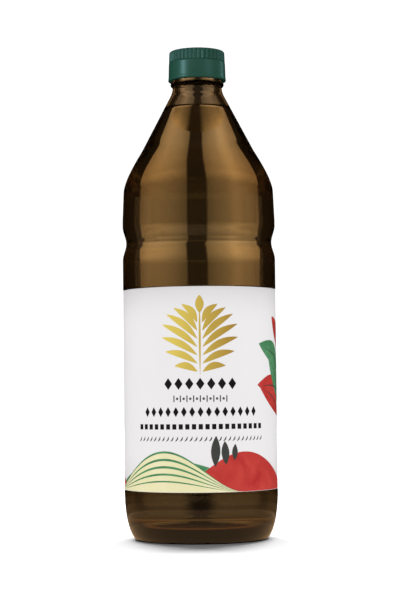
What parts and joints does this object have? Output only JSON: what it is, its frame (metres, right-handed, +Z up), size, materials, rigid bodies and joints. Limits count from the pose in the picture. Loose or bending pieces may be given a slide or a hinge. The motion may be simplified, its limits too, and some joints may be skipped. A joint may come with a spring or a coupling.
{
  "type": "vinegar bottle",
  "caption": "Tall round brown glass bottle with a waist groove, a long conical shoulder, a wrapped paper label and a ribbed screw cap, filled with vinegar.",
  "frame": {"origin": "on the ground, at the centre of the ring that the bottle rests on", "axes": "+Z up along the bottle's axis, towards the cap; the printed front faces -Y"},
  "size_m": [0.078, 0.078, 0.2496],
  "materials": {
    "brown_glass": "smooth blown glass, dark brown",
    "vinegar": "clear liquid, amber brown",
    "label_paper": "coated paper, satin, printed",
    "cap_plastic": "moulded polypropylene, dark green, satin"
  },
  "bodies": {
    "root": {"bottle_glass": "brown_glass", "vinegar": "vinegar", "wrap_label": "label_paper", "screw_cap": "cap_plastic"}
  },
  "joints": []
}
